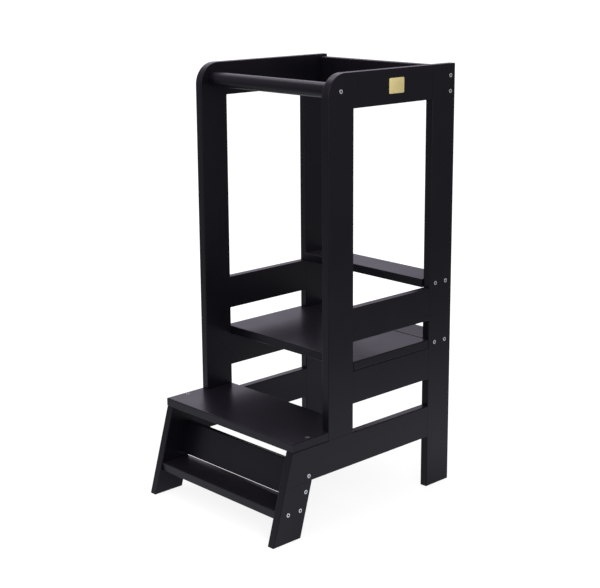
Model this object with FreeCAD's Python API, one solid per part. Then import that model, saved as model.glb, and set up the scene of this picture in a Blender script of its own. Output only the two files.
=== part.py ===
import FreeCAD, Part
import math
import os

# Toddler kitchen helper stool: two side frames of flat boards,
# joined by a platform, a step and cross boards.
# The stool stands on Z = 0, its front is towards -Y, and X = 0 is the middle of its width.

# Driving dimensions, in millimetres
overall_width = 390.0
overall_height = 900.0
frame_depth = 363.5  # from the front of the front posts to the back of the rear posts
board_thickness = 18.0
board_width = 69.0
corner_radius = 45.0  # front top corner of each side frame
edge_ease = 1.8  # rounding along the boards' exposed edges
seam_relief = 0.4  # small chamfer round a board's end where it butts against its neighbour

lower_rail_bottom = 112.8  # underside of the lower rails, above the floor
tread_reach = 97.5  # how far the step tread stands in front of the front posts
foot_reach = 149.0  # how far the feet stand in front of the front posts on the floor
notch_clearance = 0.3  # between the tread and the front posts it is cut round

platform_height = 328.6  # top of the platform, above the floor
platform_front_gap = 1.0  # between the front posts and the platform board
platform_joint_gap = 1.0  # between the platform board and the rear board
guard_gap = 41.1  # between the platform and the guard rail above it

handrail_diameter = 30.0
back_panel_drop = 5.4  # from the top of the frames down to the top of the back panel
back_panel_inset = 4.8  # from the back of the rear posts
back_bar_overhang = 5.0  # how far the back bar stands in front of the rear posts

shelf_height = 49.0  # underside of the low shelf, above the floor
shelf_inset = 2.0  # from the slanted front edge of the feet
riser_slit = 5.4  # between the low shelf and the step riser
riser_inset = 2.0  # from the slanted back edge of the feet

plate_length = 42.5
plate_height = 30.5
plate_thickness = 0.8
plate_corner = 3.0
plate_setback = 166.0  # from the front of the front posts
plate_drop = 18.0  # from the top of the frame
pad_thickness = 0.3  # adhesive behind the plate
pad_margin = 2.0  # how far the adhesive stays inside the plate's edge

screw_length = 50.0
screw_head_diameter = 8.5
screw_head_height = 2.6
screw_shank_diameter = 6.0
screw_shank_length = 9.0  # smooth stretch below the head
screw_core_diameter = 4.4
screw_tip_length = 4.0
screw_tip_diameter = 1.8
socket_width = 4.0  # across the flats of the hex socket
socket_depth = 2.4
screw_pitch = 32.0  # between the two screws of a pair
tread_screw_setback = 48.5  # from the front edge of the tread

pin_diameter = 8.0
pin_length = 40.0
pin_chamfer = 1.0
pin_pitch = 32.0
foot_pin_setback = 16.0  # from the front of the seam between rail and foot to its first pin
foot_pin_pitch = 20.0
foot_pin_length = 30.0
platform_pin_length = 30.0
platform_pin_bite = 11.0  # how far a platform pin reaches into the platform board
platform_pin_margin = 30.0  # from the platform board's front and rear edge to its outer pins
platform_pin_count = 3
bore_clearance = 0.05  # all round a screw or a pin

same_place = 0.001  # places nearer to each other than this are the same place

# Places worked out from the driving dimensions
outer_x = overall_width / 2
inner_x = outer_x - board_thickness
middle_x = outer_x - board_thickness / 2
post_front = (foot_reach - frame_depth) / 2
post_back = post_front + frame_depth
front_post_rear = post_front + board_width
rear_post_front = post_back - board_width
front_post_middle = post_front + board_width / 2
rear_post_middle = post_back - board_width / 2

lower_rail_top = lower_rail_bottom + board_width
tread_top = lower_rail_top + board_thickness
platform_rail_top = platform_height - board_thickness
platform_rail_bottom = platform_rail_top - board_width
guard_rail_bottom = platform_height + guard_gap
guard_rail_top = guard_rail_bottom + board_width
top_rail_bottom = overall_height - board_width

nose_y = post_front - tread_reach
foot_front = post_front - foot_reach
foot_slope = (foot_reach - tread_reach) / lower_rail_top
lean = math.atan(foot_slope)
foot_depth = board_width / math.cos(lean)  # of the slanted foot, measured level

back_panel_top = overall_height - back_panel_drop
back_bar_bottom = guard_rail_top
handrail_height = overall_height - board_width / 2
shelf_top = shelf_height + board_thickness
shelf_front = foot_front + foot_slope * shelf_top + shelf_inset


def foot_front_at(z):
    return foot_front + foot_slope * z


def foot_back_at(z):
    return foot_front_at(z) + foot_depth


def vector(x, y, z):
    return FreeCAD.Vector(x, y, z)


def block(x_low, x_high, y_low, y_high, z_low, z_high):
    return Part.makeBox(x_high - x_low, y_high - y_low, z_high - z_low, vector(x_low, y_low, z_low))


def mirrored(shape):
    return shape.mirror(vector(0, 0, 0), vector(1, 0, 0))


def edges_in_plane(shape, axis, place):
    """The edges of a shape that lie flat in the plane where an axis has the given value."""
    found = []
    for edge in shape.Edges:
        box = edge.BoundBox
        low, high = {"x": (box.XMin, box.XMax), "y": (box.YMin, box.YMax), "z": (box.ZMin, box.ZMax)}[axis]
        if abs(low - place) < same_place and abs(high - place) < same_place:
            found.append(edge)
    return found


def relieved(board, ends):
    """A board with a small chamfer round each end that butts against a neighbour."""
    for axis, place in ends:
        board = board.makeChamfer(seam_relief, edges_in_plane(board, axis, place))
    return board


def window(z_low, z_high):
    corners = [
        vector(inner_x, front_post_rear, z_low),
        vector(inner_x, rear_post_front, z_low),
        vector(inner_x, rear_post_front, z_high),
        vector(inner_x, front_post_rear, z_high),
    ]
    return Part.makePolygon(corners + corners[:1])


def side_frame():
    """The right side frame in one piece, with its exposed edges rounded, before it is parted into boards."""
    arc_start = vector(inner_x, post_front, overall_height - corner_radius)
    arc_end = vector(inner_x, post_front + corner_radius, overall_height)
    arc_centre = vector(inner_x, post_front + corner_radius, overall_height - corner_radius)
    arc_half = corner_radius * math.sqrt(0.5)
    arc_middle = arc_centre + vector(0, -arc_half, arc_half)
    corners = [
        arc_end,
        vector(inner_x, post_back, overall_height),
        vector(inner_x, post_back, 0),
        vector(inner_x, rear_post_front, 0),
        vector(inner_x, rear_post_front, lower_rail_bottom),
        vector(inner_x, foot_back_at(lower_rail_bottom), lower_rail_bottom),
        vector(inner_x, foot_back_at(0), 0),
        vector(inner_x, foot_front_at(0), 0),
        vector(inner_x, nose_y, lower_rail_top),
        vector(inner_x, post_front, lower_rail_top),
        arc_start,
    ]
    edges = [Part.makeLine(start, end) for start, end in zip(corners, corners[1:])]
    edges.append(Part.Arc(arc_start, arc_middle, arc_end).toShape())
    wires = [
        Part.Wire(edges),
        window(lower_rail_top, platform_rail_bottom),
        window(platform_rail_top, guard_rail_bottom),
        window(guard_rail_top, top_rail_bottom),
    ]
    blank = Part.Face(wires, "Part::FaceMakerBullseye").extrude(vector(board_thickness, 0, 0))
    outlines = edges_in_plane(blank, "x", inner_x) + edges_in_plane(blank, "x", outer_x)
    return blank.makeFillet(edge_ease, outlines)


def frame_boards():
    """The seven boards of the right side frame, parted along their butt joints."""
    frame = side_frame()
    below, above = -board_width, overall_height + board_width
    ahead, behind = foot_front - board_width, post_back + board_width
    between = (front_post_rear, rear_post_front)
    both_ends = [("y", front_post_rear), ("y", rear_post_front)]
    places = {
        "front_post": (ahead, front_post_rear, lower_rail_top, above, [("z", lower_rail_top)]),
        "rear_post": (rear_post_front, behind, below, above, []),
        "top_rail": (*between, top_rail_bottom, above, both_ends),
        "guard_rail": (*between, guard_rail_bottom, guard_rail_top, both_ends),
        "platform_rail": (*between, platform_rail_bottom, platform_rail_top, both_ends),
        "lower_rail": (ahead, rear_post_front, lower_rail_bottom, lower_rail_top, [("y", rear_post_front)]),
        "foot": (ahead, front_post_rear, below, lower_rail_bottom, [("z", lower_rail_bottom)]),
    }
    boards = {}
    for name, (y_low, y_high, z_low, z_high, ends) in places.items():
        region = block(0, overall_width, y_low, y_high, z_low, z_high)
        boards[name] = relieved(frame.common(region), ends)
    return boards


def cross_board(y_low, y_high, z_low, z_high):
    """A board between the two side frames: rounded along its length, relieved round both ends."""
    board = block(-inner_x, inner_x, y_low, y_high, z_low, z_high)
    long_edges = [edge for edge in board.Edges if edge.BoundBox.XLength > inner_x]
    return relieved(board.makeFillet(edge_ease, long_edges), [("x", -inner_x), ("x", inner_x)])


def handrail():
    rail = Part.makeCylinder(
        handrail_diameter / 2,
        2 * inner_x,
        vector(-inner_x, front_post_middle, handrail_height),
        vector(1, 0, 0),
    )
    return relieved(rail, [("x", -inner_x), ("x", inner_x)])


def back_panel():
    y_high = post_back - back_panel_inset
    return cross_board(y_high - board_thickness, y_high, back_panel_top - board_width, back_panel_top)


def back_bar():
    y_low = rear_post_front - back_bar_overhang
    return cross_board(y_low, post_back, back_bar_bottom, back_bar_bottom + board_thickness)


def platform_rear_board():
    return cross_board(rear_post_front, post_back, platform_rail_top, platform_height)


def platform_board():
    """The board that lies on the two platform rails, from outer face to outer face."""
    board = block(
        -outer_x,
        outer_x,
        front_post_rear + platform_front_gap,
        rear_post_front - platform_joint_gap,
        platform_rail_top,
        platform_height,
    )
    return board.makeFillet(edge_ease, board.Edges)


def step_tread():
    """The board that lies on the lower rails in front of the posts and reaches back between them."""
    front_end = post_front - notch_clearance
    notched_x = inner_x - notch_clearance
    front = block(-outer_x, outer_x, nose_y, front_end, lower_rail_top, tread_top)
    back = block(-notched_x, notched_x, nose_y, front_post_rear, lower_rail_top, tread_top)
    board = front.fuse(back).removeSplitter()
    eased = []
    for level in (lower_rail_top, tread_top):
        for edge in edges_in_plane(board, "z", level):
            start_y = edge.BoundBox.YMin
            is_ahead_of_notch = start_y < front_end - same_place
            is_rear_edge = start_y > front_post_rear - same_place
            if is_ahead_of_notch or is_rear_edge:
                eased.append(edge)
    return board.makeFillet(edge_ease, eased)


def low_shelf():
    return cross_board(shelf_front, shelf_front + board_width, shelf_height, shelf_top)


def riser_point(inward, along):
    """A point of the slanted riser, from its lower back edge: in from its back face, up its slope."""
    low_z = shelf_top + riser_slit
    low_edge = vector(0, foot_back_at(low_z) - riser_inset / math.cos(lean), low_z)
    up_slope = vector(0, math.sin(lean), math.cos(lean))
    into_board = vector(0, -math.cos(lean), math.sin(lean))
    return low_edge + up_slope * along + into_board * inward


def step_riser():
    board = cross_board(-board_thickness, 0, 0, board_width)
    board.rotate(vector(0, 0, 0), vector(1, 0, 0), -math.degrees(lean))
    board.translate(riser_point(0, 0))
    return board


def round_plate(x_low, thickness, margin):
    """A flat plate with rounded corners on the right frame's outer face, inside the name plate's outline."""
    y_low = post_front + plate_setback + margin
    y_high = post_front + plate_setback + plate_length - margin
    z_high = overall_height - plate_drop - margin
    z_low = overall_height - plate_drop - plate_height + margin
    plate = block(x_low, x_low + thickness, y_low, y_high, z_low, z_high)
    corners = [edge for edge in plate.Edges if edge.BoundBox.XLength > thickness / 2]
    return plate.makeFillet(plate_corner, corners)


def turned(profile):
    """A solid of revolution about Z from (radius, height) points that start and end on the axis."""
    points = [vector(radius, 0, height) for radius, height in profile]
    face = Part.Face(Part.makePolygon(points + points[:1]))
    return face.revolve(vector(0, 0, 0), vector(0, 0, 1), 360)


def screw_profile(clearance):
    """Half the outline of a countersunk screw: its head lies at Z = 0 and its tip points down."""
    head = screw_head_diameter / 2 + clearance
    shank = screw_shank_diameter / 2 + clearance
    core = screw_core_diameter / 2 + clearance
    tip = screw_tip_diameter / 2 + clearance
    return [
        (0, 0),
        (head, 0),
        (shank, -screw_head_height),
        (shank, -screw_head_height - screw_shank_length),
        (core, -screw_head_height - screw_shank_length - clearance),
        (core, screw_tip_length - screw_length - clearance),
        (tip, -screw_length - clearance),
        (0, -screw_length - clearance),
    ]


def hex_socket():
    radius = socket_width / math.sqrt(3)
    angles = [math.radians(60 * corner) for corner in range(6)]
    corners = [vector(radius * math.cos(angle), radius * math.sin(angle), 0) for angle in angles]
    return Part.Face(Part.makePolygon(corners + corners[:1])).extrude(vector(0, 0, -socket_depth))


def screw():
    return turned(screw_profile(0)).cut(hex_socket())


def pin(length):
    radius = pin_diameter / 2
    half = length / 2
    return turned(
        [
            (0, -half),
            (radius - pin_chamfer, -half),
            (radius, pin_chamfer - half),
            (radius, half - pin_chamfer),
            (radius - pin_chamfer, half),
            (0, half),
        ]
    )


def pin_bore(length):
    radius = pin_diameter / 2 + bore_clearance
    height = length + 2 * bore_clearance
    return Part.makeCylinder(radius, height, vector(0, 0, -height / 2))


def placed(shape, point, direction):
    """A copy of a shape made along +Z, turned to a direction and moved to a point."""
    copy = shape.copy()
    copy.Placement = FreeCAD.Placement(point, FreeCAD.Rotation(vector(0, 0, 1), direction))
    return copy


def side_screws():
    """The screws through the right frame: node name, and the place of each head on the outer face."""
    half = screw_pitch / 2
    panel_y = post_back - back_panel_inset - board_thickness / 2
    panel_z = back_panel_top - board_width / 2
    bar_z = back_bar_bottom + board_thickness / 2
    rear_board_z = platform_height - board_thickness / 2
    shelf_y = shelf_front + board_width / 2
    shelf_z = shelf_height + board_thickness / 2
    places = {
        "handrail_screws": [(front_post_middle, handrail_height)],
        "back_panel_screws": [(panel_y, panel_z - half), (panel_y, panel_z + half)],
        "back_bar_screws": [(rear_post_middle - half, bar_z), (rear_post_middle + half, bar_z)],
        "platform_screws": [
            (rear_post_middle - half, rear_board_z),
            (rear_post_middle + half, rear_board_z),
        ],
        "shelf_screws": [(shelf_y - half, shelf_z), (shelf_y + half, shelf_z)],
        "riser_screws": [],
    }
    for along in (board_width / 2 - half, board_width / 2 + half):
        point = riser_point(board_thickness / 2, along)
        places["riser_screws"].append((point.y, point.z))
    return places


def fixings():
    """Every screw and pin, grouped by node, each with the cutter for the bore that it sits in."""
    the_screw, screw_bore = screw(), turned(screw_profile(bore_clearance))
    groups, cutters = {}, []
    for name, places in side_screws().items():
        groups[name] = []
        for side in (-1, 1):
            for y, z in places:
                point, direction = vector(side * outer_x, y, z), vector(side, 0, 0)
                groups[name].append(placed(the_screw, point, direction))
                cutters.append(placed(screw_bore, point, direction))
    groups["tread_screws"] = []
    for side in (-1, 1):
        point, direction = vector(side * middle_x, nose_y + tread_screw_setback, tread_top), vector(0, 0, 1)
        groups["tread_screws"].append(placed(the_screw, point, direction))
        cutters.append(placed(screw_bore, point, direction))
    for name, length, places in pin_places():
        groups[name] = [placed(pin(length), point, direction) for point, direction in places]
        cutters += [placed(pin_bore(length), point, direction) for point, direction in places]
    return groups, cutters


def frame_pin_places(side):
    """The pins in the butt joints of one side frame, half their length on each side of the seam."""
    half = pin_pitch / 2
    x = side * middle_x
    along, upright = vector(0, 1, 0), vector(0, 0, 1)
    places = []
    for rail_bottom in (top_rail_bottom, guard_rail_bottom, platform_rail_bottom):
        for offset in (-half, half):
            z = rail_bottom + board_width / 2 + offset
            places += [(vector(x, seam, z), along) for seam in (front_post_rear, rear_post_front)]
    for offset in (-half, half):
        places.append((vector(x, rear_post_front, lower_rail_bottom + board_width / 2 + offset), along))
        places.append((vector(x, front_post_middle + offset, lower_rail_top), upright))
    return places


def foot_pin_places():
    y = foot_front_at(lower_rail_bottom) + foot_pin_setback
    upright = vector(0, 0, 1)
    return [
        (vector(side * middle_x, y + number * foot_pin_pitch, lower_rail_bottom), upright)
        for side in (-1, 1)
        for number in range(2)
    ]


def platform_pin_places():
    first = front_post_rear + platform_front_gap + platform_pin_margin
    last = rear_post_front - platform_joint_gap - platform_pin_margin
    step = (last - first) / (platform_pin_count - 1)
    z = platform_rail_top + platform_pin_bite - platform_pin_length / 2
    return [
        (vector(side * middle_x, first + number * step, z), vector(0, 0, 1))
        for side in (-1, 1)
        for number in range(platform_pin_count)
    ]


def pin_places():
    return [
        ("frame_pins_left", pin_length, frame_pin_places(-1)),
        ("frame_pins_right", pin_length, frame_pin_places(1)),
        ("foot_pins", foot_pin_length, foot_pin_places()),
        ("platform_pins", platform_pin_length, platform_pin_places()),
    ]


def drilled(board, cutters):
    """A board with the bores of every screw and pin that reaches into it."""
    near = [cutter for cutter in cutters if board.BoundBox.intersect(cutter.BoundBox)]
    return board.cut(near) if near else board


def stool():
    """Every node of the stool by name."""
    boards = {
        "handrail": handrail(),
        "back_panel": back_panel(),
        "back_bar": back_bar(),
        "platform_board": platform_board(),
        "platform_rear_board": platform_rear_board(),
        "step_tread": step_tread(),
        "step_riser": step_riser(),
        "low_shelf": low_shelf(),
    }
    for name, board in frame_boards().items():
        boards[name + "_right"] = board
        boards[name + "_left"] = mirrored(board)
    groups, cutters = fixings()
    nodes = {name: drilled(board, cutters) for name, board in boards.items()}
    for name, solids in groups.items():
        nodes[name] = Part.makeCompound(solids)
    nodes["plate_pad"] = round_plate(outer_x, pad_thickness, pad_margin)
    nodes["name_plate"] = round_plate(outer_x + pad_thickness, plate_thickness, 0)
    return nodes


os.makedirs("parts", exist_ok=True)
for node, shape in stool().items():
    shape.exportStep("parts/" + node + ".step")
    print(node, len(shape.Solids), round(shape.Volume / 1000, 2), "cm3", shape.isValid())
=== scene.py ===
import math

import bmesh
import bpy
from mathutils import Matrix, Vector


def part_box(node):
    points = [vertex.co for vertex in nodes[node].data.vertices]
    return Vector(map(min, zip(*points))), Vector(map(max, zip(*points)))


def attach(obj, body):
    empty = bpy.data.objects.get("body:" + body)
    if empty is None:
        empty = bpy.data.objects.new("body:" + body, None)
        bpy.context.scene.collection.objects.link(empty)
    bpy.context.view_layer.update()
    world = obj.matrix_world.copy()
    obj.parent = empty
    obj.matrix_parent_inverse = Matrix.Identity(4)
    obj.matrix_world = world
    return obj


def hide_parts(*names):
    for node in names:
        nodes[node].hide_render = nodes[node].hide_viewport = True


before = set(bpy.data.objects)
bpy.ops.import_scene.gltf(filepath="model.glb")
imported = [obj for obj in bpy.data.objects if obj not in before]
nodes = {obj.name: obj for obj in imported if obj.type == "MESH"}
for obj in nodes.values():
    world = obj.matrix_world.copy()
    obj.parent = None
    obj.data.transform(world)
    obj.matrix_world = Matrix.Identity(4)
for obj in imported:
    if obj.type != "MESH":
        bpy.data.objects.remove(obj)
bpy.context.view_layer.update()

print("frame loaded:", len(nodes), "nodes")

quarterTurn = math.radians(90)
smoothAngle = math.radians(35)  # edges sharper than this stay sharp
white = (1, 1, 1, 1)


def deselectAll():
    if bpy.context.object and bpy.context.object.mode != "OBJECT":
        bpy.ops.object.mode_set(mode="OBJECT")
    bpy.ops.object.select_all(action="DESELECT")


def selectOnly(piece):
    deselectAll()
    piece.select_set(True)
    bpy.context.view_layer.objects.active = piece


def pickEdges(piece, wanted):
    # edit mode with only the edges for which wanted(edge) is true
    bpy.ops.object.mode_set(mode="EDIT")
    bpy.ops.mesh.select_mode(type="EDGE")
    bpy.ops.mesh.select_all(action="DESELECT")
    mesh = bmesh.from_edit_mesh(piece.data)
    for edge in mesh.edges:
        edge.select_set(wanted(edge))
    bmesh.update_edit_mesh(piece.data)


def applyModifiers(piece):
    selectOnly(piece)
    for name in [modifier.name for modifier in piece.modifiers]:
        bpy.ops.object.modifier_apply(modifier=name)


def putAway(piece):
    # the piece's place goes into its mesh
    selectOnly(piece)
    bpy.ops.object.transform_apply(location=True, rotation=True, scale=True)
    deselectAll()


def smoothFaces(piece):
    selectOnly(piece)
    bpy.ops.object.shade_smooth_by_angle(angle=smoothAngle)
    deselectAll()


def newGroup(name, inputs, outputs):
    group = bpy.data.node_groups.new(name, "ShaderNodeTree")
    for label, kind, value in inputs:
        socket = group.interface.new_socket(
            label, in_out="INPUT", socket_type="NodeSocket" + kind)
        if value is not None:
            socket.default_value = value
    for label, kind in outputs:
        group.interface.new_socket(label, in_out="OUTPUT", socket_type="NodeSocket" + kind)
    entry = group.nodes.new("NodeGroupInput")
    leave = group.nodes.new("NodeGroupOutput")
    return group, entry.outputs, leave.inputs


def addNode(tree, kind, settings=None, values=None, **links):
    # settings go on the node itself, values into its sockets, and links come from other nodes
    node = tree.nodes.new("ShaderNode" + kind)
    for name, value in (settings or {}).items():
        setattr(node, name, value)
    for name, value in (values or {}).items():
        node.inputs[name].default_value = value
    for name, source in links.items():
        tree.links.new(source, node.inputs[name])
    return node


def fillSockets(tree, sockets, values):
    for socket, value in zip(sockets, values):
        if isinstance(value, bpy.types.NodeSocket):
            tree.links.new(value, socket)
        else:
            socket.default_value = value


def mathNode(tree, operation, *values):
    node = addNode(tree, "Math", {"operation": operation})
    fillSockets(tree, node.inputs, values)
    return node.outputs[0]


def vectorNode(tree, operation, *values):
    node = addNode(tree, "VectorMath", {"operation": operation})
    fillSockets(tree, node.inputs, values)
    return node.outputs


def mixValues(tree, mask, low, high):
    node = addNode(tree, "Mix")
    fillSockets(tree, (node.inputs["Factor"], node.inputs[2], node.inputs[3]), (mask, low, high))
    return node.outputs[0]


def mixColours(tree, mask, low, high):
    node = addNode(tree, "Mix", {"data_type": "RGBA"})
    fillSockets(tree, (node.inputs["Factor"], node.inputs[6], node.inputs[7]), (mask, low, high))
    return node.outputs[2]


def fade(tree, value, start, end):
    node = addNode(
        tree, "MapRange", {"interpolation_type": "SMOOTHSTEP"},
        {"From Min": start, "From Max": end}, Value=value)
    return node.outputs[0]


def newMaterial(name, values):
    material = bpy.data.materials.new(name)
    material.use_nodes = True
    tree = material.node_tree
    shader = tree.nodes["Principled BSDF"]
    for socket, value in values.items():
        shader.inputs[socket].default_value = value
    return material, tree, shader


def placeOn(tree, turn=None):
    # the place on the piece, turned so that its grain or strokes run along X
    place = addNode(tree, "TexCoord").outputs["Object"]
    if turn is None:
        return place
    return addNode(tree, "Mapping", values={"Rotation": turn}, Vector=place).outputs[0]


def placeGroup(tree, group, values, place):
    return addNode(tree, "Group", {"node_tree": group}, values, Vector=place).outputs


def setColour(tree, shader, mask, low, high):
    tree.links.new(mixColours(tree, mask, low, high), shader.inputs["Base Color"])


def setRoughness(tree, shader, mask, spread, lowest):
    roughness = mathNode(tree, "MULTIPLY_ADD", mask, spread, lowest)
    tree.links.new(roughness, shader.inputs["Roughness"])


def setRelief(tree, shader, height):
    relief = addNode(tree, "Bump", values={"Strength": 1.0, "Distance": 1.0}, Height=height)
    tree.links.new(relief.outputs[0], shader.inputs["Normal"])


def makeGrainLines():
    # fine lines along X: wood pores under paint, or the strokes of a brush on metal
    group, given, result = newGroup(
        "grainLines",
        [
            ("Vector", "Vector", None),
            ("Along", "Float", 9.0),
            ("Across", "Float", 420.0),
            ("Waver", "Float", 0.02),
        ],
        [("Lines", "Float"), ("Bands", "Float")])
    sway = addNode(group, "TexNoise", values={"Scale": 7.0, "Detail": 2.0}, Vector=given["Vector"])
    spread = addNode(group, "CombineXYZ", X=given["Waver"], Y=given["Waver"], Z=given["Waver"])
    swayed = vectorNode(
        group, "MULTIPLY_ADD", sway.outputs["Color"], spread.outputs[0], given["Vector"])
    stretch = addNode(group, "CombineXYZ", X=given["Along"], Y=given["Across"], Z=given["Across"])
    drawn = vectorNode(group, "MULTIPLY", swayed[0], stretch.outputs[0])[0]
    fine = addNode(
        group, "TexNoise", values={"Scale": 1.0, "Detail": 3.0, "Roughness": 0.6}, Vector=drawn)
    coarse = addNode(group, "TexNoise", values={"Scale": 0.12, "Detail": 2.0}, Vector=drawn)
    group.links.new(fine.outputs["Fac"], result["Lines"])
    group.links.new(coarse.outputs["Fac"], result["Bands"])
    return group


filmSettings = {
    "emptyShare": 0.93,  # of the cells, which hold no nib of dust
    "nibEdge": (0.10, 0.03),  # a nib's foot and its top, in cells from its middle
}


def makeSprayedFilm():
    # the slight orange peel of a sprayed film, and the nibs of dust that dried in it
    s = filmSettings
    group, given, result = newGroup(
        "sprayedFilm",
        [
            ("Vector", "Vector", None),
            ("Peel Scale", "Float", 650.0),
            ("Nib Scale", "Float", 140.0),
        ],
        [("Peel", "Float"), ("Nibs", "Float")])
    peel = addNode(
        group, "TexNoise", values={"Detail": 1.5},
        Vector=given["Vector"], Scale=given["Peel Scale"])
    cells = addNode(
        group, "TexVoronoi", values={"Randomness": 1.0},
        Vector=given["Vector"], Scale=given["Nib Scale"])
    chance = addNode(group, "SeparateColor", Color=cells.outputs["Color"]).outputs[0]
    rare = mathNode(group, "GREATER_THAN", chance, s["emptyShare"])
    nib = fade(group, cells.outputs["Distance"], *s["nibEdge"])
    group.links.new(peel.outputs["Fac"], result["Peel"])
    group.links.new(mathNode(group, "MULTIPLY", rare, nib), result["Nibs"])
    return group


def makeHandling():
    # soft clouds where hands and cloths have dulled or polished a surface
    group, given, result = newGroup(
        "handling",
        [
            ("Vector", "Vector", None),
            ("Scale", "Float", 6.0),
            ("Low", "Float", 0.35),
            ("High", "Float", 0.7),
        ],
        [("Mask", "Float")])
    clouds = addNode(
        group, "TexNoise", values={"Detail": 5.0, "Roughness": 0.62, "Distortion": 0.4},
        Vector=given["Vector"], Scale=given["Scale"])
    spread = addNode(
        group, "MapRange",
        **{"Value": clouds.outputs["Fac"], "From Min": given["Low"], "From Max": given["High"]})
    group.links.new(spread.outputs[0], result["Mask"])
    return group


grainLines = makeGrainLines()
sprayedFilm = makeSprayedFilm()
handling = makeHandling()
print("shared effects made")


lacquerFinish = {
    "deep": (0.0028, 0.0022, 0.0044, 1.0),
    "thin": (0.0054, 0.0046, 0.0078, 1.0),  # where the film is thinner
    "roughness": 0.29,
    "roughnessSpread": 0.07,
    "specular": 0.205,
    "sheen": 0.025,
    "sheenRoughness": 0.5,
    "sheenTint": (0.85, 0.78, 1.0, 1.0),
    "grain": {"Along": 7.0, "Across": 330.0, "Waver": 0.012},
    "film": {"Peel Scale": 520.0, "Nib Scale": 120.0},
    "hands": {"Scale": 5.0},
    "poreDepth": 0.00005,
    "peelDepth": 0.000012,
    "nibHeight": 0.00004,
}


def makeLacquer(name, turn):
    # satin black film over wood
    s = lacquerFinish
    material, tree, shader = newMaterial(name, {
        "Specular IOR Level": s["specular"], "Sheen Weight": s["sheen"],
        "Sheen Roughness": s["sheenRoughness"], "Sheen Tint": s["sheenTint"]})
    place = placeOn(tree)
    grain = placeGroup(tree, grainLines, s["grain"], placeOn(tree, turn))
    film = placeGroup(tree, sprayedFilm, s["film"], place)
    hands = placeGroup(tree, handling, s["hands"], place)
    tone = mathNode(tree, "MULTIPLY", grain["Bands"], hands["Mask"])
    setColour(tree, shader, tone, s["deep"], s["thin"])
    worn = mathNode(tree, "MULTIPLY_ADD", hands["Mask"], s["roughnessSpread"], s["roughness"])
    setRoughness(tree, shader, grain["Lines"], s["roughnessSpread"] / 2, worn)
    pores = mathNode(tree, "MULTIPLY", grain["Lines"], s["poreDepth"])
    peel = mathNode(tree, "MULTIPLY_ADD", film["Peel"], s["peelDepth"], pores)
    setRelief(tree, shader, mathNode(tree, "MULTIPLY_ADD", film["Nibs"], s["nibHeight"], peel))
    return material


steelFinish = {
    "clean": (0.62, 0.78),  # darkest and brightest grey of the zinc
    "treadGreys": (0.24, 0.38),  # darker greys, for the heads in the tread
    "blueCast": 0.01,
    "metallic": 0.75,
    "specular": 0.5,
    "roughness": 0.32,
    "roughnessSpread": 0.14,
    "marks": {"Scale": 260.0},
    "rings": {"Scale": 5200.0, "Detail": 2.0},
    "ringDepth": 0.000006,
}


def makeSteel(name, greys):
    # zinc plated screw head, turned: rings that follow the head's own "fromAxis" attribute
    s = steelFinish
    material, tree, shader = newMaterial(name, {
        "Metallic": s["metallic"], "Specular IOR Level": s["specular"]})
    fromAxis = addNode(tree, "Attribute", {"attribute_name": "fromAxis"}).outputs["Fac"]
    rings = addNode(tree, "TexNoise", {"noise_dimensions": "1D"}, s["rings"], W=fromAxis)
    marks = placeGroup(tree, handling, s["marks"], placeOn(tree))
    dark, bright = ((grey, grey, grey + s["blueCast"], 1) for grey in greys)
    setColour(tree, shader, marks["Mask"], dark, bright)
    setRoughness(tree, shader, marks["Mask"], s["roughnessSpread"], s["roughness"])
    setRelief(tree, shader, mathNode(tree, "MULTIPLY", rings.outputs["Fac"], s["ringDepth"]))
    return material


socketFinish = {
    "dark": (0.045, 0.043, 0.045, 1),
    "bright": (0.12, 0.12, 0.125, 1),
    "metallic": 1.0,
    "roughness": 0.45,
    "roughnessSpread": 0.2,
    "marks": {"Scale": 700.0},
}


def makeSocketSteel():
    # the inside of a hex socket, coloured near black: painted shade in the recess
    s = socketFinish
    material, tree, shader = newMaterial("socketSteel", {"Metallic": s["metallic"]})
    marks = placeGroup(tree, handling, s["marks"], placeOn(tree))
    setColour(tree, shader, marks["Mask"], s["dark"], s["bright"])
    setRoughness(tree, shader, marks["Mask"], s["roughnessSpread"], s["roughness"])
    return material


brassFinish = {
    "deep": (0.96, 0.79, 0.34, 1),
    "bright": (1.0, 0.87, 0.42, 1),
    "metallic": 0.35,
    "roughness": 0.28,
    "handsSpread": 0.10,  # what hands and strokes each add to the roughness
    "strokesSpread": 0.12,
    "hands": {"Scale": 45.0},
    "strokes": {"Along": 120.0, "Across": 9000.0, "Waver": 0.0004},
    "strokeDepth": 0.000004,
}


def makeBrass():
    # satin gold plate, brushed along its length
    s = brassFinish
    material, tree, shader = newMaterial("plateBrass", {"Metallic": s["metallic"]})
    strokes = placeGroup(tree, grainLines, s["strokes"], placeOn(tree, (0, 0, -quarterTurn)))
    hands = placeGroup(tree, handling, s["hands"], placeOn(tree))
    setColour(tree, shader, hands["Mask"], s["deep"], s["bright"])
    worn = mathNode(tree, "MULTIPLY_ADD", hands["Mask"], s["handsSpread"], s["roughness"])
    setRoughness(tree, shader, strokes["Lines"], s["strokesSpread"], worn)
    setRelief(tree, shader, mathNode(tree, "MULTIPLY", strokes["Lines"], s["strokeDepth"]))
    return material


beechFinish = {
    "dark": (0.52, 0.33, 0.18, 1),
    "light": (0.68, 0.48, 0.29, 1),
    "specular": 0.3,
    "roughness": 0.5,
    "roughnessSpread": 0.2,
    "grain": {"Along": 30.0, "Across": 1500.0, "Waver": 0.002},
}


def makeBeech():
    # plain unfinished pins
    s = beechFinish
    material, tree, shader = newMaterial("beechPins", {"Specular IOR Level": s["specular"]})
    grain = placeGroup(tree, grainLines, s["grain"], placeOn(tree, (0, 0, -quarterTurn)))
    setColour(tree, shader, grain["Lines"], s["dark"], s["light"])
    setRoughness(tree, shader, grain["Bands"], s["roughnessSpread"], s["roughness"])
    return material


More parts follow.
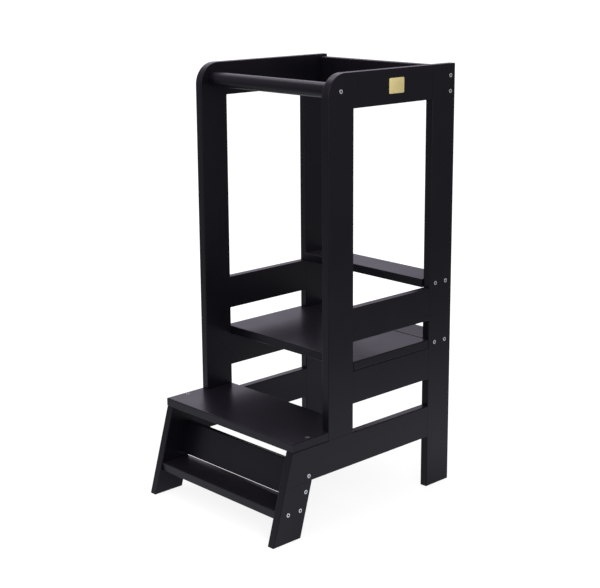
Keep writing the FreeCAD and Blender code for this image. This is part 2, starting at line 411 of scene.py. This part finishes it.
adhesiveFinish = {
    "dark": (0.74, 0.74, 0.71, 1),
    "light": (0.85, 0.85, 0.82, 1),
    "specular": 0.3,
    "roughness": 0.6,
    "roughnessSpread": 0.2,
    "foam": {"Peel Scale": 2600.0, "Nib Scale": 900.0},
}


def makeAdhesive():
    # pale foam pad behind the plate
    s = adhesiveFinish
    material, tree, shader = newMaterial("plateAdhesive", {"Specular IOR Level": s["specular"]})
    foam = placeGroup(tree, sprayedFilm, s["foam"], placeOn(tree))
    setColour(tree, shader, foam["Peel"], s["dark"], s["light"])
    setRoughness(tree, shader, foam["Peel"], s["roughnessSpread"], s["roughness"])
    return material


lacquerAcross = makeLacquer("lacquerAcross", (0, 0, 0))
lacquerLong = makeLacquer("lacquerLong", (0, 0, -quarterTurn))
lacquerUpright = makeLacquer("lacquerUpright", (0, quarterTurn, 0))
screwSteel = makeSteel("screwSteel", steelFinish["clean"])
# the same steel with darker greys, for the heads in the tread
darkSteel = makeSteel("darkSteel", steelFinish["treadGreys"])
socketSteel = makeSocketSteel()
plateBrass = makeBrass()
beechPins = makeBeech()
plateAdhesive = makeAdhesive()
print("finishes made")

finishOf = {  # by how a node's name starts: the first that fits is taken
    "frame_pins": beechPins,
    "foot_pins": beechPins,
    "platform_pins": beechPins,
    "plate_pad": plateAdhesive,
    "name_plate": plateBrass,
    "top_rail": lacquerLong,
    "guard_rail": lacquerLong,
    "platform_rail": lacquerLong,
    "lower_rail": lacquerLong,
    "front_post": lacquerUpright,
    "rear_post": lacquerUpright,
    "foot": lacquerUpright,
}


def finishFor(name):
    if name.endswith("_screws"):
        return screwSteel
    for start, material in finishOf.items():
        if name.startswith(start):
            return material
    return lacquerAcross


for name, node in nodes.items():
    for materialSlot in node.material_slots:
        materialSlot.material = finishFor(name)
print("finishes laid on the boards")


screwSettings = {
    "headRadius": 0.00425,
    "headHeight": 0.0026,
    "headLand": 0.00035,  # short straight rim above the countersink
    "rimBevel": 0.00015,
    "sunk": 0.0001,  # below the board's face
    "shankRadius": 0.003,
    "shankEnd": 0.0116,
    "shankStep": 0.0003,  # the short cone from the shank down to the core
    "coreRadius": 0.0022,
    "coreEnd": 0.046,
    "tipRadius": 0.0009,
    "length": 0.05,
    "socketRadius": 0.00231,  # to the corners of the hexagon
    "socketDepth": 0.0024,
    "around": 48,
    "pairSpan": 3,  # a side's screws that reach over more head radii than this are a pair
}


def makeScrew():
    # a screw that points down from Z = 0, its head in the board's face
    s = screwSettings
    radius, depth = s["headRadius"] - s["rimBevel"], s["sunk"]
    rings = [  # each ring's radius and depth below the face
        (s["headRadius"], s["sunk"] + s["rimBevel"]),
        (s["headRadius"], s["sunk"] + s["headLand"]),
        (s["shankRadius"], s["headHeight"] + s["sunk"]),
        (s["shankRadius"], s["shankEnd"]),
        (s["coreRadius"], s["shankEnd"] + s["shankStep"]),
        (s["coreRadius"], s["coreEnd"]),
        (s["tipRadius"], s["length"]),
    ]
    deselectAll()
    bpy.ops.mesh.primitive_circle_add(
        vertices=s["around"], radius=radius, fill_type="NGON", location=(0, 0, -depth))
    body = bpy.context.object
    body.name = "screwBody"
    bpy.ops.object.mode_set(mode="EDIT")
    bpy.ops.mesh.select_mode(type="FACE")
    bpy.ops.mesh.select_all(action="SELECT")
    for nextRadius, nextDepth in rings:
        bpy.ops.mesh.extrude_region_move(
            TRANSFORM_OT_translate={"value": (0, 0, depth - nextDepth)})
        factor = nextRadius / radius
        bpy.ops.transform.resize(value=(factor, factor, 1))
        radius, depth = nextRadius, nextDepth
    bpy.ops.mesh.select_all(action="SELECT")
    bpy.ops.mesh.normals_make_consistent(inside=False)
    deselectAll()
    bpy.ops.mesh.primitive_cylinder_add(
        vertices=6, radius=s["socketRadius"], depth=2 * s["socketDepth"],
        location=(0, 0, -s["sunk"]))
    cutter = bpy.context.object
    # the socket's faces take the near-black steel: painted shade
    cutter.data.materials.append(socketSteel)
    body.data.materials.append(screwSteel)
    cut = body.modifiers.new("socket", "BOOLEAN")
    cut.operation = "DIFFERENCE"
    cut.object = cutter
    cut.solver = "EXACT"
    cut.material_mode = "TRANSFER"
    applyModifiers(body)
    bpy.data.objects.remove(cutter)
    fromAxis = body.data.attributes.new("fromAxis", "FLOAT", "POINT")
    for vertex in body.data.vertices:
        fromAxis.data[vertex.index].value = math.hypot(vertex.co.x, vertex.co.y)
    smoothFaces(body)
    return body


def setScrew(name, pattern, node, point, direction, steel):
    piece = pattern.copy()
    piece.data = pattern.data.copy()
    piece.name = name
    piece.data.materials[0] = steel
    bpy.context.scene.collection.objects.link(piece)
    turn = Vector((0, 0, 1)).rotation_difference(direction)
    piece.data.transform(Matrix.Translation(point) @ turn.to_matrix().to_4x4())
    piece.data.update()
    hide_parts(node)
    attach(piece, "root")


def setTreadScrews(pattern, node):
    # one in each end of the tread, straight down
    radius = screwSettings["headRadius"]
    low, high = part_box(node)
    for side, x in (("left", low.x + radius), ("right", high.x - radius)):
        point = Vector((x, (low.y + high.y) / 2, high.z))
        setScrew(f"{node}_{side}", pattern, node, point, Vector((0, 0, 1)), darkSteel)


def setSideScrews(pattern, node):
    # one or two through each side frame, their heads outwards
    radius = screwSettings["headRadius"]
    low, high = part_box(node)
    spots = [(low.y + radius, low.z + radius)]
    if max(high.y - low.y, high.z - low.z) > screwSettings["pairSpan"] * radius:
        spots.append((high.y - radius, high.z - radius))
    for side, x in (("left", low.x), ("right", high.x)):
        outwards = Vector((math.copysign(1, x), 0, 0))
        for number, (y, z) in enumerate(spots):
            name = f"{node}_{side}_{number + 1}"
            setScrew(name, pattern, node, Vector((x, y, z)), outwards, screwSteel)


screwPattern = makeScrew()
for name in sorted(name for name in nodes if name.endswith("_screws")):
    if name == "tread_screws":
        setTreadScrews(screwPattern, name)
    else:
        setSideScrews(screwPattern, name)
bpy.data.objects.remove(screwPattern)
print("screws set")


plateSettings = {
    "corner": 0.0022,
    "cornerSteps": 8,
    "rim": 0.0003,  # rounding round the plate's face
    "rimSteps": 3,
    "nearFace": 0.00001,  # edges this close to the face are its rim
}


def makePlate():
    # the bare metal plate on the right top rail
    s = plateSettings
    low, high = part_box("name_plate")
    size = high - low
    deselectAll()
    bpy.ops.mesh.primitive_cube_add(size=1, location=(low + high) / 2, scale=size)
    plate = bpy.context.object
    plate.name = "barePlate"
    putAway(plate)
    selectOnly(plate)
    pickEdges(plate, lambda edge: abs(edge.verts[0].co.x - edge.verts[1].co.x) > size.x / 2)
    bpy.ops.mesh.bevel(offset=s["corner"], segments=s["cornerSteps"], profile=0.5)
    faceX = high.x - s["nearFace"]
    pickEdges(plate, lambda edge: all(vertex.co.x > faceX for vertex in edge.verts))
    bpy.ops.mesh.bevel(offset=s["rim"], segments=s["rimSteps"], profile=0.5)
    plate.data.materials.append(plateBrass)
    smoothFaces(plate)
    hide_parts("name_plate")
    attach(plate, "root")
    print("plate made")


makePlate()


stageSettings = {
    "floorSize": 120.0,
    "floorShade": 0.25,
    "floorRoughness": 0.9,
    "floorGlow": 0.86,  # near the stool, where its shadow falls
    "floorTint": (0.82, 0.86, 1.0, 1.0),  # a tint painted into reflections, seen only in polished things, as are the values below
    "poolShade": 0.85,  # of a painted pool of light round the stool, which fades out over a distance
    "poolEdge": (0.3, 1.8),
    "underShade": 0.52,  # of a painted shadow of the stool on the floor, an oval
    "underMiddle": 0.15,
    "underWidth": 0.3,
    "underLength": 0.42,
    "underEdge": (0.8, 1.25),
    "farFloor": 0.06,  # the floor and the room behind the stool, both painted reflections
    "farRoom": 0.07,
    "frontFloor": 0.23,  # and in front of it
    "frontRoom": 0.60,
    "frontTowards": (0.0, -1.0, 0.0),
    "frontEdge": (0.0, 0.5),
    "wallTowards": (0.86, -0.51, 0.0),  # a pale wall painted into reflections, and the floor in front of it
    "wallEdge": (0.15, 0.45),
    "wallShade": 1.0,
    "wallReach": (2.5, 7.0),
    "ceilingShade": 0.70,
    "ceilingEdge": (0.4, 0.9),
    "backdropTowards": (-0.94, 0.34, 0.0),  # where a white backdrop is painted into reflections, seen from the stool
    "backdropEdge": (0.70, 0.93),
    "backdropTint": (0.90, 0.83, 1.0, 1.0),
    "backdropFoot": 0.68,  # its brightness low down and high up
    "backdropTop": 2.5,
    "backdropRise": (0.15, 0.45),
    "worldFill": 0.52,  # what the whole room gives to plain surfaces
}


def mirroredRays(tree, path):
    return mathNode(tree, "MAXIMUM", path["Is Glossy Ray"], path["Is Transmission Ray"])


def fadeTowards(tree, direction, towards, edge):
    alike = vectorNode(tree, "DOT_PRODUCT", direction, towards)["Value"]
    return fade(tree, alike, *edge)


def paintedRoomReflection(tree, direction, far, front, reach=1.0):
    # painted reflection of a room: dim behind the stool, paler in front of it, and a pale wall on
    # the right
    s = stageSettings
    wall = mathNode(
        tree, "MULTIPLY", fadeTowards(tree, direction, s["wallTowards"], s["wallEdge"]), reach)
    frontwards = fadeTowards(tree, direction, s["frontTowards"], s["frontEdge"])
    return mixValues(tree, frontwards, mixValues(tree, wall, far, s["wallShade"]), front)


def paintedPoolAndShadow(tree, place):
    # painted shadow under the stool, an oval, in a painted pool of light round it
    s = stageSettings
    oval = addNode(
        tree, "Mapping", Vector=place, values={
            "Location": (0, -s["underMiddle"] / s["underLength"], 0),
            "Scale": (1 / s["underWidth"], 1 / s["underLength"], 1)})
    clear = fade(tree, vectorNode(tree, "LENGTH", oval.outputs[0])["Value"], *s["underEdge"])
    return mixValues(tree, clear, s["underShade"], s["poolShade"])


def makeFloor():
    s = stageSettings
    deselectAll()
    bpy.ops.mesh.primitive_plane_add(size=s["floorSize"], location=(0, 0, 0))
    floor = bpy.context.object
    floor.name = "floor"
    material, tree, shader = newMaterial("paleFloor", {
        "Base Color": (s["floorShade"],) * 3 + (1,), "Roughness": s["floorRoughness"],
        "Specular IOR Level": 0.0})
    path = addNode(tree, "LightPath").outputs
    place = placeOn(tree)
    away = vectorNode(tree, "LENGTH", place)["Value"]
    outside = fade(tree, away, *s["poolEdge"])
    direction = vectorNode(tree, "NORMALIZE", place)["Vector"]
    beyond = paintedRoomReflection(
        tree, direction, s["farFloor"], s["frontFloor"], fade(tree, away, *s["wallReach"]))
    # what polished things see of the floor: a painted pool of light, a painted shadow and a
    # painted room
    mirrored = mixValues(tree, outside, paintedPoolAndShadow(tree, place), beyond)
    plain = mixValues(tree, outside, s["floorGlow"], 1.0)
    seen = mathNode(tree, "MULTIPLY", path["Is Camera Ray"], plain)
    glow = mathNode(tree, "MULTIPLY_ADD", mirroredRays(tree, path), mirrored, seen)
    tree.links.new(glow, shader.inputs["Emission Strength"])
    # a tint painted into what polished things see of the floor
    tint = mixColours(tree, mirroredRays(tree, path), white, s["floorTint"])
    tree.links.new(tint, shader.inputs["Emission Color"])
    floor.data.materials.append(material)
    print("floor made")


def makeWorld():
    s = stageSettings
    world = bpy.data.worlds.new("studio")
    world.use_nodes = True
    bpy.context.scene.world = world
    tree = world.node_tree
    background = tree.nodes["Background"]
    path = addNode(tree, "LightPath").outputs
    direction = addNode(tree, "TexCoord").outputs["Generated"]
    height = addNode(tree, "SeparateXYZ", Vector=direction).outputs["Z"]
    rise = fade(tree, height, *s["backdropRise"])
    backdrop = mixValues(tree, rise, s["backdropFoot"], s["backdropTop"])
    ceiling = fade(tree, height, *s["ceilingEdge"])
    walls = paintedRoomReflection(tree, direction, s["farRoom"], s["frontRoom"])
    room = mixValues(tree, ceiling, walls, s["ceilingShade"])
    facing = fadeTowards(tree, direction, s["backdropTowards"], s["backdropEdge"])
    # what polished things see of the world: a painted backdrop, walls and ceiling with a painted
    # tint
    mirrored = mixValues(tree, facing, room, backdrop)
    indirect = mixValues(tree, mirroredRays(tree, path), s["worldFill"], mirrored)
    strength = mixValues(tree, path["Is Camera Ray"], indirect, 1.0)
    tree.links.new(strength, background.inputs["Strength"])
    tint = mixColours(tree, mirroredRays(tree, path), white, s["backdropTint"])
    tree.links.new(tint, background.inputs["Color"])
    print("world made")


lampSettings = {
    "aim": (0.0, 0.0, 0.45),
    "lamps": {  # metres and watts
        "overhead": {"place": (-0.6, 0.3, 3.0), "size": (2.2, 2.2), "power": 40},
        "side": {"place": (2.6, -1.6, 1.8), "size": (1.4, 2.0), "power": 42},
    },
}


def makeLamps():
    aim = Vector(lampSettings["aim"])
    for name, s in lampSettings["lamps"].items():
        data = bpy.data.lights.new(name, "AREA")
        data.shape = "RECTANGLE"
        data.size, data.size_y = s["size"]
        data.energy = s["power"]
        lamp = bpy.data.objects.new(name, data)
        lamp.location = s["place"]
        lamp.rotation_euler = (Vector(s["place"]) - aim).to_track_quat("Z", "Y").to_euler()
        bpy.context.scene.collection.objects.link(lamp)
    print("lamps made")


cameraSettings = {
    "aim": (0.0, -0.0085, 0.450),
    "azimuth": 46.0857,  # degrees from the front towards the right side
    "elevation": 13.0028,
    "roll": -0.229,
    "distance": 2.775924,
    "slideRight": 0.038448,
    "slideUp": 0.048464,
    "focalPixels": 1335.986,
    "imageWidth": 600,
    "imageHeight": 588,
    "principalX": 315,  # where the lens axis meets the picture
    "principalY": 260,
    "sensorWidth": 36,
    "clipEnd": 200,  # past the far edge of the floor
}


def makeCamera():
    s = cameraSettings
    azimuth, elevation, roll = (math.radians(s[name]) for name in ("azimuth", "elevation", "roll"))
    level = Vector((math.cos(azimuth), math.sin(azimuth), 0))
    ahead = Vector((math.sin(azimuth), -math.cos(azimuth), 0))
    back = ahead * math.cos(elevation) + Vector((0, 0, math.sin(elevation)))
    upright = back.cross(level)
    right = level * math.cos(roll) + upright * math.sin(roll)
    up = upright * math.cos(roll) - level * math.sin(roll)
    data = bpy.data.cameras.new("view")
    data.sensor_width = s["sensorWidth"]
    data.lens = s["focalPixels"] * data.sensor_width / s["imageWidth"]
    data.shift_x = (s["imageWidth"] / 2 - s["principalX"]) / s["imageWidth"]
    data.shift_y = (s["principalY"] - s["imageHeight"] / 2) / s["imageWidth"]
    data.clip_end = s["clipEnd"]
    camera = bpy.data.objects.new("view", data)
    place = Vector(s["aim"]) + right * s["slideRight"] + up * s["slideUp"] + back * s["distance"]
    turn = Matrix((right, up, back)).transposed().to_4x4()
    camera.matrix_world = Matrix.Translation(place) @ turn
    bpy.context.scene.collection.objects.link(camera)
    bpy.context.scene.camera = camera
    print("camera placed")


makeFloor()
makeWorld()
makeLamps()
makeCamera()
bpy.context.scene.view_settings.view_transform = "Standard"
